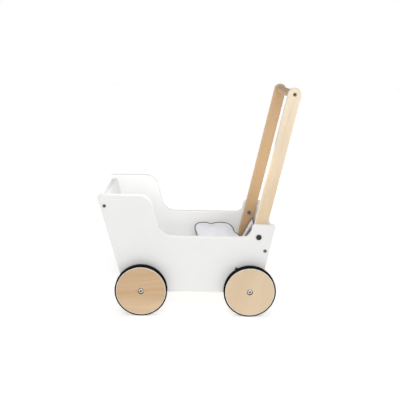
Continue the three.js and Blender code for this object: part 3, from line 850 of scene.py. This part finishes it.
def ring_profile(given):
    """A ring with a flange at its inner end: a washer, bush or threaded insert."""
    bore, outer, flange = given["Bore Radius"], given["Radius"], given["Flange Radius"]
    length, thick, ease = given["Length"], given["Flange Thickness"], given["Edge"]
    return [
        (bore, ease, 0.0, 0.0), (bore + ease, 0.0, 0.0, 0.5), (outer - ease, 0.0, 0.0, 0.8),
        (outer, ease, 0.0, 0.8), (outer, length - thick, 0.0, 0.0),
        (flange - ease, length - thick, 0.0, 0.6), (flange, length - thick + ease, 0.0, 0.8),
        (flange, length - ease, 0.0, 0.8), (flange - ease, length, 0.0, 0.5),
        (bore + ease, length, 0.0, 0.3), (bore, length - ease, 0.0, 0.0), (bore, ease, 0.0, 0.0),
    ]


def sleeve_profile(given):
    """A nut with a flat head and socket, and a long sleeve for the bolt."""
    head, top, sleeve = given["Head Radius"], given["Head Height"], given["Sleeve Radius"]
    bore, length, ease = given["Bore Radius"], given["Length"], given["Edge"]
    socket, depth = given["Socket Radius"], given["Socket Depth"]
    return [
        (0.0, depth, 1.0, 0.0), (socket - ease, depth, 1.0, 0.0), (socket, depth - ease, 1.0, 0.0),
        (socket, ease, 1.0, 0.6), (socket + ease, 0.0, 0.7, 1.0), (socket + ease * 2, 0.0, 0.0, 0.3),
        (head - ease * 2, 0.0, 0.0, 0.4), (head - ease * 0.6, ease * 0.6, 0.0, 0.9),
        (head, ease * 2, 0.0, 0.8), (head, top - ease, 0.0, 0.4), (head - ease, top, 0.0, 0.2),
        (sleeve, top, 0.0, 0.0), (sleeve, length - ease, 0.0, 0.0),
        (sleeve - ease, length, 0.0, 0.3), (bore + ease, length, 0.0, 0.3),
        (bore, length - ease, 0.0, 0.0), (bore, depth + ease * 3, 0.0, 0.0),
        (0.0, depth + ease * 3, 0.0, 0.0),
    ]


def grown(name, tree, points, sizes, finish, seed, **extra):
    """The plain mesh that a geometry tree grows from points. Sizes are in millimetres."""
    data = bpy.data.meshes.new(name)
    data.from_pydata([Vector(p) * MM for p in points], extra.get("edges", []), [])
    for label, values in extra.get("attributes", {}).items():
        data.attributes.new(label, "FLOAT", "POINT").data.foreach_set("value", values)
    piece = bpy.data.objects.new(name, data)
    scene.collection.objects.link(piece)
    growth = piece.modifiers.new("growth", "NODES")
    growth.node_group = tree
    values = {"Seed": seed, "Finish": finish, **{k: v * MM for k, v in sizes.items()}}
    for item in tree.interface.items_tree:
        if item.in_out == "INPUT" and item.name in values:
            growth[item.identifier] = values[item.name]
    return settled(piece)


def fasteners(name, tree, labels, sizes, finish, seed, material_slot, head=True):
    """One mesh for every fastener of a kind. Each takes its place and direction from its node, and
    starts at the node's outer end, or at its inner end if its `head` isn't on the outside."""
    points, facing = [], []
    for label in labels:
        low, high = box_mm(label)
        centre = (low + high) / 2
        outwards = 1 if centre.y > 0 else -1
        if not head:
            outwards = -outwards
        y = high.y if outwards > 0 else low.y
        points.append((centre.x, y, centre.z))
        facing.append(1.0 if outwards > 0 else 0.0)
    piece = grown(name, tree, points, sizes, finish, seed, attributes={"facing": facing})
    smooth(piece, 32)
    return fit(piece, "carriage", material_slot, finish, *labels)


def make_fasteners():
    black = metal("black_oxide", 71.0, (0.030, 0.030, 0.032), (0.018, 0.018, 0.020), 0.36, 0.55,
                  (0.16, 0.16, 0.165))
    # its light worn colour on the rims is partly a painted glint
    gunmetal = metal("dark_zinc", 74.0, (0.19, 0.19, 0.195), (0.12, 0.12, 0.125), 0.36, 0.3,
                     (0.62, 0.62, 0.62))
    zinc = metal("zinc_plate", 72.0, (0.84, 0.85, 0.86), (0.66, 0.67, 0.69), 0.24, 1.0,
                 (0.92, 0.92, 0.92))
    natural = nylon("natural_nylon", 73.0)
    screw_tree = turned_growth("socket_screw", ("Head Radius", "Head Height", "Dome",
                               "Socket Radius", "Socket Depth", "Shank Radius", "Length", "Edge"),
                               socket_screw_profile)
    ring_tree = turned_growth("flanged_ring", ("Bore Radius", "Radius", "Flange Radius",
                              "Flange Thickness", "Length", "Edge"), ring_profile)
    sleeve_tree = turned_growth("sleeve_nut", ("Head Radius", "Head Height", "Sleeve Radius",
                                "Bore Radius", "Socket Radius", "Socket Depth", "Length", "Edge"),
                                sleeve_profile)

    def pair(node):
        return [f"{node}_{side}" for side in SIDES]

    def at_wheels(node):
        return [f"{node}_{end}_{side}" for end in ENDS for side in SIDES]

    board_screws = [f"screw_{place}_{side}" for side in SIDES for place in BOARD_SCREWS]
    screw = {"Head Radius": 4, "Head Height": 3, "Dome": 0.5, "Socket Radius": 2.3,
             "Socket Depth": 2, "Shank Radius": 2.4, "Length": 42, "Edge": 0.25}
    bolt = {**screw, "Head Radius": 6.3, "Dome": 1.7, "Shank Radius": 3, "Length": 15,
            "Socket Depth": 2.1}
    axle_bolt = {**bolt, "Head Radius": 5.7, "Head Height": 3.3, "Dome": 2.2,
                 "Length": width_mm("axle_bolt_front_left"), "Socket Radius": 2.9}
    washer = {"Bore Radius": 3.3, "Radius": 6.5, "Flange Radius": 6.5, "Flange Thickness": 0.6,
              "Length": 1.2, "Edge": 0.15}
    insert = {**washer, "Radius": 5, "Flange Radius": 5, "Length": 13, "Edge": 0.4}
    bush = {**washer, "Radius": 4.8, "Flange Radius": 8, "Flange Thickness": 4.4,
            "Length": width_mm("wheel_bush_front_left"), "Edge": 0.3}
    nut = {"Head Radius": 6, "Head Height": 2, "Sleeve Radius": 4.2, "Bore Radius": 3.3,
           "Socket Radius": 2.6, "Socket Depth": 1.6,
           "Length": width_mm("arm_sleeve_nut_left"), "Edge": 0.25}
    kinds = (
        ("board_screws", screw_tree, board_screws, screw, gunmetal, "black_steel"),
        ("handle_screws", screw_tree, pair("handle_end_screw"), {**screw, "Length": 36}, gunmetal,
         "black_steel"),
        ("arm_bolts", screw_tree, pair("arm_bolt"), bolt, black, "black_steel"),
        ("axle_bolts", screw_tree, at_wheels("axle_bolt"), axle_bolt, zinc, "bright_steel"),
        ("wheel_washers", ring_tree, at_wheels("wheel_washer"), washer, zinc, "bright_steel"),
        ("insert_nuts", ring_tree, at_wheels("insert_nut"), insert, zinc, "bright_steel"),
        ("wheel_bushes", ring_tree, at_wheels("wheel_bush"), bush, natural, "bush_plastic"),
        ("arm_sleeve_nuts", sleeve_tree, pair("arm_sleeve_nut"), nut, gunmetal, "bright_steel"),
    )
    for seed, (name, tree, labels, sizes, finish, material_slot) in enumerate(kinds, 1):
        fasteners(name, tree, labels, sizes, finish, seed, material_slot,
                  head=name != "arm_sleeve_nuts")


# ------------------------------------------------------------------ cushions


def cloth(name, seed, print_colour=None, base=((0.74, 0.74, 0.79), (0.80, 0.80, 0.84))):
    """Plain-woven cotton. The weave follows the cushion's own cut, in metres along warp and weft."""
    material, tree, shader = new_finish(name, Sheen_Weight=0.25, Sheen_Roughness=0.5,
                                        Specular_IOR_Level=0.2, Roughness=0.9)
    place = own_place(tree)
    warp, weft = attribute(tree, "warp"), attribute(tree, "weft")
    pitch = math.pi / 0.00055
    over = (warp * pitch).math("SINE") * (weft * pitch).math("SINE")
    thread = over.math("ABSOLUTE").math("POWER", 0.5)
    slub = noise(tree, add(tree, "ShaderNodeCombineXYZ", "Vector", {"X": warp * 0.08, "Y": weft}),
                 1500, 2, seed=seed)
    fuzz = noise(tree, place, 2600, 2, 0.6, seed=seed)
    shade = noise(tree, place, 55, 3, seed=seed)
    colour = mix(tree, shade.between(0.3, 0.7), *base)
    if print_colour:
        colour = print_colour(tree, colour, warp, weft)
    darker = (0.45, 0.45, 0.47)
    colour = mix(tree, over.between(-0.5, 0.5, 0, 0.08), colour, darker, "MULTIPLY")
    colour = mix(tree, slub.between(0.55, 0.75, 0, 0.14), colour, darker, "MULTIPLY")
    feed(tree, shader.inputs["Base Color"], colour)
    under = bump(tree, thread + slub * 0.4, 0.00012, 0.5)
    feed(tree, shader.inputs["Normal"], bump(tree, fuzz, 0.00006, 0.4, under))
    return material


PRINT_BANDS = (
    # start and end along the warp, in metres, and tint
    (0.052, 0.066, (0.27, 0.31, 0.27)),
    (0.066, 0.088, (0.10, 0.075, 0.085)),
    (0.128, 0.134, (0.27, 0.31, 0.27)),
)
BAND_BLUR = 0.0006


def dots_and_bands(tree, colour, warp, weft):
    """A generic print: rows of coloured dots, and three plain bands."""
    spacing = 0.042
    row = (warp - 0.004) / spacing + 0.5
    line = (weft - 0.008) / spacing + 0.5
    dx = (row % 1.0) - 0.5
    dy = (line % 1.0) - 0.5
    reach = (dx * dx + dy * dy).math("SQRT")
    dot = reach.between(0.10, 0.13, 1, 0)
    kind = row.math("FLOOR") % 3.0
    paint = mix(tree, kind.between(0.4, 0.6), (0.55, 0.045, 0.04), (0.72, 0.30, 0.34))
    paint = mix(tree, kind.between(1.4, 1.6), paint, (0.36, 0.40, 0.36))
    colour = mix(tree, dot, colour, paint)
    for start, end, tint in PRINT_BANDS:
        inside = warp.between(start - BAND_BLUR, start + BAND_BLUR) * warp.between(
            end - BAND_BLUR, end + BAND_BLUR, 1, 0)
        colour = mix(tree, inside, colour, tint)
    return colour


def cushion_grid(length, width, corners, columns, rows, shape):
    """Two layers of points sewn together round their edge, with the corners rounded. `corners`
    gives the radius at (x side, y side), and `shape` may move a flat point. Each point comes with
    its ring: 0 in the middle, 1 on the seam."""
    half = Vector((length / 2, width / 2))
    flat = {}
    for i in range(columns + 1):
        for j in range(rows + 1):
            u, v = 2 * i / columns - 1, 2 * j / rows - 1
            ring = max(abs(u), abs(v))
            if ring == 0:
                flat[i, j] = (Vector((0, 0)), 0.0)
                continue
            rim = Vector((u / ring * half.x, v / ring * half.y))
            radius = corners[u > 0, v > 0]
            centre = Vector((math.copysign(half.x - radius, u), math.copysign(half.y - radius, v)))
            out = rim - centre
            if out.x * u > 0 and out.y * v > 0:
                rim = centre + out.normalized() * radius
            flat[i, j] = (shape(rim * ring), ring)
    points, rings, index, faces = [], [], {}, []
    for layer in (1, -1):
        for (i, j), (p, ring) in flat.items():
            if ring > 0.9999 and layer < 0:
                index[layer, i, j] = index[1, i, j]
                continue
            index[layer, i, j] = len(points)
            points.append((p.x, p.y, layer * FIRST_PUFF * (1 - ring ** 3)))
            rings.append(ring)
        for i in range(columns):
            for j in range(rows):
                quad = [index[layer, i + a, j + b] for a, b in ((0, 0), (1, 0), (1, 1), (0, 1))]
                faces.append(quad[::layer])
    edge = [(i, 0) for i in range(columns)] + [(columns, j) for j in range(rows)]
    edge += [(i, rows) for i in range(columns, 0, -1)] + [(0, j) for j in range(rows, 0, -1)]
    return points, rings, faces, [index[1, i, j] for i, j in edge]


def inflate(piece, frames=20):
    """Blows the sewn cloth up with Blender's Cloth, and returns where its points end up."""
    scene.frame_start, scene.frame_end = 1, frames
    blown = piece.modifiers.new("stuffing", "CLOTH")
    settings = blown.settings
    settings.quality = 6
    settings.mass = 0.2
    settings.tension_stiffness = settings.compression_stiffness = 14
    settings.shear_stiffness = 6
    settings.bending_stiffness = 0.25
    settings.use_pressure = True
    settings.uniform_pressure_force = 4
    settings.effector_weights.gravity = 0
    blown.point_cache.frame_start, blown.point_cache.frame_end = 1, frames
    for number in range(1, frames + 1):
        scene.frame_set(number)
    shown = piece.evaluated_get(bpy.context.evaluated_depsgraph_get())
    points = [v.co.copy() for v in shown.data.vertices]
    piece.modifiers.clear()
    scene.frame_set(1)
    return points


def stuffed(name, size, corners, shape, place, floor, pull_in, cap=12):
    """A stuffed cushion in its place, and its seam's points in order. Sizes in millimetres.
    Its sides pull in between the corners, and its faces thin out towards the seam like a lens."""
    length, width, thickness = size
    columns, rows = (round(side / CLOTH_CELL / 2) * 2 for side in (length, width))
    points, rings, faces, seam = cushion_grid(length, width, corners, columns, rows, shape)
    data = bpy.data.meshes.new(name)
    data.from_pydata([Vector(p) * MM for p in points], [], faces)
    piece = bpy.data.objects.new(name, data)
    scene.collection.objects.link(piece)
    for label, k, edge in (("warp", 1, width / 2), ("weft", 0, length / 2)):
        cut = data.attributes.new(label, "FLOAT", "POINT")
        cut.data.foreach_set("value", [(edge - p[k]) * MM for p in points])
    blown = inflate(piece)
    crown = max(abs(p.z) for p in blown)
    for vert, start, ring, end in zip(data.vertices, points, rings, blown):
        move = end - Vector(start) * MM
        move.z = 0
        if move.length > cap * MM:
            move *= cap * MM / move.length
        waist = 1 - min(1, abs(2 * start[1] / width)) ** 2
        girth = 1 - min(1, abs(2 * start[0] / length)) ** 2
        x = start[0] * (1 - pull_in * waist) * MM + move.x * 0.5
        y = start[1] * (1 - pull_in * 0.5 * girth) * MM + move.y * 0.5
        lens = (1 - ring ** 2) ** 0.9
        fullness = min(1.0, abs(end.z) / crown + 0.12)
        vert.co = Vector((x, y, math.copysign(thickness / 2 * MM * lens * fullness, end.z)))
    data.transform(place)
    for vert in data.vertices:
        vert.co.z = max(vert.co.z, floor * MM)
    return piece, [data.vertices[i].co / MM for i in seam]


def cord_growth():
    """A round cord along the object's line."""
    tree, given = new_growth("piping_cord", ("Cord Radius", "Step"))
    line = add(tree, "GeometryNodeMeshToCurve", "Curve", {"Mesh": given["Geometry"]})
    line = add(tree, "GeometryNodeResampleCurve", "Curve", {"Curve": line, "Length": given["Step"]},
               mode="LENGTH")
    ring = add(tree, "GeometryNodeCurvePrimitiveCircle", "Curve",
               {"Resolution": 10, "Radius": given["Cord Radius"]})
    cord = add(tree, "GeometryNodeCurveToMesh", "Mesh", {"Curve": line, "Profile Curve": ring})
    end_growth(tree, cord, given)
    return tree


def stitch_growth():
    """Short running stitches along the object's line, each turned a little by chance."""
    tree, given = new_growth("running_stitch", ("Stitch Length", "Pitch", "Thread Radius"))
    line = add(tree, "GeometryNodeMeshToCurve", "Curve", {"Mesh": given["Geometry"]})
    line = add(tree, "GeometryNodeResampleCurve", "Curve", {"Curve": line, "Length": given["Pitch"]},
               mode="LENGTH")
    thread = add(tree, "GeometryNodeMeshCylinder", "Mesh",
                 {"Vertices": 6, "Radius": given["Thread Radius"], "Depth": given["Stitch Length"]})
    along = add(tree, "GeometryNodeInputTangent", "Tangent")
    turn = add(tree, "FunctionNodeAlignRotationToVector", "Rotation", {"Vector": along}, axis="Z")
    chance = add(tree, "FunctionNodeRandomValue", "Value", {"Seed": given["Seed"]},
                 data_type="FLOAT_VECTOR")
    chance.socket.node.inputs["Min"].default_value = (0.85, 0.85, 0.8)
    chance.socket.node.inputs["Max"].default_value = (1.1, 1.1, 1.1)
    placed = add(tree, "GeometryNodeInstanceOnPoints", "Instances",
                 {"Points": line, "Instance": thread, "Rotation": turn, "Scale": chance})
    end_growth(tree, placed, given)
    return tree


def closed_line(points):
    return [(i, (i + 1) % len(points)) for i in range(len(points))]


def seam_line(piece, seam, up, inset):
    """Points on the cushion's skin beside its seam, on the face that looks along `up`."""
    skin = BVHTree.FromObject(piece, bpy.context.evaluated_depsgraph_get())
    centre = sum(seam, Vector()) / len(seam)
    line = []
    for i, point in enumerate(seam):
        along = (seam[(i + 1) % len(seam)] - seam[i - 1]).normalized()
        inwards = along.cross(up).normalized()
        if inwards.dot(centre - point) < 0:
            inwards = -inwards
        above = (point + inwards * inset + up * 30) * MM
        hit = skin.ray_cast(above, -up)[0]
        if hit:
            line.append(hit / MM)
    return line


def trim(piece, seam, up, material_slot, thread, piping, trees):
    """Piping on the seam and stitches beside it, on both faces."""
    cord_tree, stitch_tree = trees
    cord = grown(f"{piece.name}_piping", cord_tree, seam,
                 {"Cord Radius": PIPING_R, "Step": 3}, piping, 1, edges=closed_line(seam))
    smooth(cord, 60)
    fit(cord, "carriage", material_slot, piping)
    for label, direction in (("upper", up), ("under", -up)):
        line = seam_line(piece, seam, direction, STITCH_INSET)
        made = grown(f"{piece.name}_stitches_{label}", stitch_tree, line,
                     {"Stitch Length": 2.2, "Pitch": 3.2, "Thread Radius": 0.28}, thread, 5,
                     edges=closed_line(line))
        fit(made, "carriage", material_slot, thread)


def along_stops(place, stops):
    """The value at a place, in straight lines from one (place, value) stop to the next."""
    for (start, first), (end, second) in zip(stops, stops[1:]):
        if place <= end:
            break
    share = max(0, min(1, (place - start) / (end - start)))
    return first + (second - first) * share


# the plain cushion's two short sides, as (distance towards its far end, distance to the handle)
PLAIN_HOOD_SIDE = ((-85, -50), (-60, -57), (-10, -56), (20, -57), (53, -59), (68, -57),
                   (80, -50), (85, -42))
PLAIN_HANDLE_SIDE = ((-85, 50), (-60, 57), (5, 58), (20, 54), (28, 50.5), (40, 47), (53, 44),
                     (64, 41), (73, 36), (80, 30), (85, 22))
# creases in its far seam, as (place along X, width, height)
PLAIN_CREASES = ((42, 8, -3.4), (66, 14, 0.8))


def gathered(p):
    """The plain cushion's flat cut. Its far end is drawn in on the handle's side."""
    left, right = (along_stops(p.y, stops) for stops in (PLAIN_HOOD_SIDE, PLAIN_HANDLE_SIDE))
    return Vector((left + (right - left) * (p.x / PLAIN_SIZE[0] + 0.5), p.y))


def as_cut(p):
    """The printed cushion's flat cut, a plain rectangle."""
    return p


def make_cushions():
    trees = (cord_growth(), stitch_growth())
    piping = cloth("grey_piping", 91.0, base=((0.085, 0.07, 0.08), (0.13, 0.11, 0.125)))
    thread = cloth("light_thread", 92.0, base=((0.60, 0.60, 0.64), (0.68, 0.68, 0.71)))
    low, high = box_mm("pillow_plain")
    centre = (low + high) / 2
    tilt = Matrix.Rotation(math.radians(10), 4, "X")
    corners = {(False, False): 12, (True, False): 12, (False, True): 5, (True, True): 5}
    piece, seam = stuffed("cushion_plain", PLAIN_SIZE, corners, gathered,
                          Matrix.Translation(centre * MM) @ tilt, low.z, 0)
    crease_far_edge(piece, seam, centre)
    finish_cushion(piece, "grey_cloth", cloth("grey_cotton", 93.0), "pillow_plain")
    trim(piece, seam, tilt @ Vector((0, 0, 1)), "grey_cloth", thread, piping, trees)

    low, high = box_mm("pillow_print")
    centre = (low + high) / 2
    lean = Matrix.Rotation(math.radians(28 - 90), 4, "Y")
    corners = {(False, False): 6, (True, False): 5, (False, True): 6, (True, True): 4}
    piece, seam = stuffed("cushion_print", PRINT_SIZE, corners, as_cut,
                          Matrix.Translation(centre * MM) @ lean, low.z, 0.06)
    white = ((0.90, 0.865, 0.875), (0.94, 0.91, 0.915))
    finish_cushion(piece, "print_cloth", cloth("printed_cotton", 94.0, dots_and_bands, white),
                   "pillow_print")
    trim(piece, seam, lean @ Vector((0, 0, 1)), "print_cloth", thread, piping, trees)


def crease_far_edge(piece, seam, centre):
    """A small dip in the far seam, where the filling has parted."""
    def drop(x, y):
        near_far_end = max(0, min(1, (y - centre.y - 20) / 60)) ** 2
        return near_far_end * sum(height * math.exp(-((x - place) / width) ** 2)
                                  for place, width, height in PLAIN_CREASES)

    for vert in piece.data.vertices:
        vert.co.z += drop(vert.co.x / MM, vert.co.y / MM) * MM
    for point in seam:
        point.z += drop(point.x, point.y)


def finish_cushion(piece, material_slot, material, node):
    for vert in piece.data.vertices:
        wrinkle = blender_noise.noise(vert.co * 38) + 0.5 * blender_noise.noise(vert.co * 90)
        vert.co += vert.normal * wrinkle * 0.7 * MM
    rounder = piece.modifiers.new("rounder", "SUBSURF")
    rounder.levels = rounder.render_levels = 1
    settled(piece)
    piece.data.shade_smooth()
    fit(piece, "carriage", material_slot, material, node)


# ------------------------------------------------------------------ camera, floor and lights


def make_camera():
    """Eye level of a person who looks at the toy from its left, a little above it."""
    yaw, pitch, roll = math.radians(-1.2728), math.radians(12.956), math.radians(1.1358)
    data = bpy.data.cameras.new("camera")
    data.lens = 55.595
    data.sensor_width = 36
    camera = bpy.data.objects.new("camera", data)
    turn = Matrix.Rotation(yaw, 4, "Z") @ Matrix.Rotation(math.pi / 2 - pitch, 4, "X")
    turn @= Matrix.Rotation(roll, 4, "Z")
    camera.matrix_world = Matrix.Translation((-0.02433, -1.49212, 0.58743)) @ turn
    scene.collection.objects.link(camera)
    scene.camera = camera


def make_floor():
    """A light table: a pale floor that glows a little, so that what stands on it is lit from
    below too."""
    material, tree, shader = new_finish("studio_floor", Emission_Strength=0.48)
    place = own_place(tree)
    clouds = noise(tree, place, 1.5, 2)
    colour = mix(tree, clouds.between(0.3, 0.7), (0.93, 0.93, 0.93), (0.95, 0.95, 0.95))
    feed(tree, shader.inputs["Base Color"], colour)
    feed(tree, shader.inputs["Roughness"], noise(tree, place, 60).between(0.3, 0.7, 0.75, 0.9))
    mesh = bmesh.new()
    bmesh.ops.create_circle(mesh, cap_ends=True, segments=96, radius=12)
    data = bpy.data.meshes.new("studio_floor")
    mesh.to_mesh(data)
    mesh.free()
    data.materials.append(material)
    floor = bpy.data.objects.new("studio_floor", data)
    scene.collection.objects.link(floor)


def sun(name, azimuth, elevation, strength, softness=45):
    """A very soft far light. Azimuth 0 is the camera's side, and 90 the handle's."""
    data = bpy.data.lights.new(name, "SUN")
    data.energy = strength * math.pi
    data.angle = math.radians(softness)
    lamp = bpy.data.objects.new(name, data)
    turn, rise = math.radians(azimuth), math.radians(elevation)
    towards = Vector((math.sin(turn) * math.cos(rise), -math.cos(turn) * math.cos(rise),
                      math.sin(rise)))
    lamp.rotation_euler = towards.to_track_quat("Z", "Y").to_euler()
    scene.collection.objects.link(lamp)


def cradle_softbox():
    """A small soft light over the open cradle, for its far wall."""
    data = bpy.data.lights.new("cradle_softbox", "AREA")
    data.shape = "RECTANGLE"
    data.size, data.size_y = 0.34, 0.08
    data.energy = 0.50
    lamp = bpy.data.objects.new("cradle_softbox", data)
    lamp.location = (-0.04, -0.12, 0.40)
    aim = Vector((-0.04, 0.117, 0.21)) - lamp.location
    lamp.rotation_euler = aim.to_track_quat("-Z", "Y").to_euler()
    lamp.visible_camera = False
    lamp.visible_glossy = False
    scene.collection.objects.link(lamp)


def make_light():
    """A bright low surround that fades overhead, four far lights and the cradle's own."""
    world = bpy.data.worlds.new("studio")
    scene.world = world
    world.use_nodes = True
    tree = world.node_tree
    towards = add(tree, "ShaderNodeTexCoord", "Generated")
    height = add(tree, "ShaderNodeSeparateXYZ", "Z", {"Vector": towards})
    low, high = (math.sin(math.radians(angle)) for angle in (8, 20))
    wall = height.between(low, high, 1.0, 0.12)
    feed(tree, tree.nodes["Background"].inputs["Strength"], wall)
    tree.nodes["Background"].inputs["Color"].default_value = (1, 1, 1, 1)
    sun("front_softbox", 0, 55, 0.30)
    sun("low_softbox", 0, 15, 0.15, 30)
    sun("back_softbox", 180, 45, 0.15)
    sun("side_softbox", 90, 30, 0.03)
    cradle_softbox()
    scene.view_settings.view_transform = "Standard"


make_camera()
make_floor()
make_light()
make_boards()
make_wheels()
make_beams()
make_handle()
make_fasteners()
make_cushions()
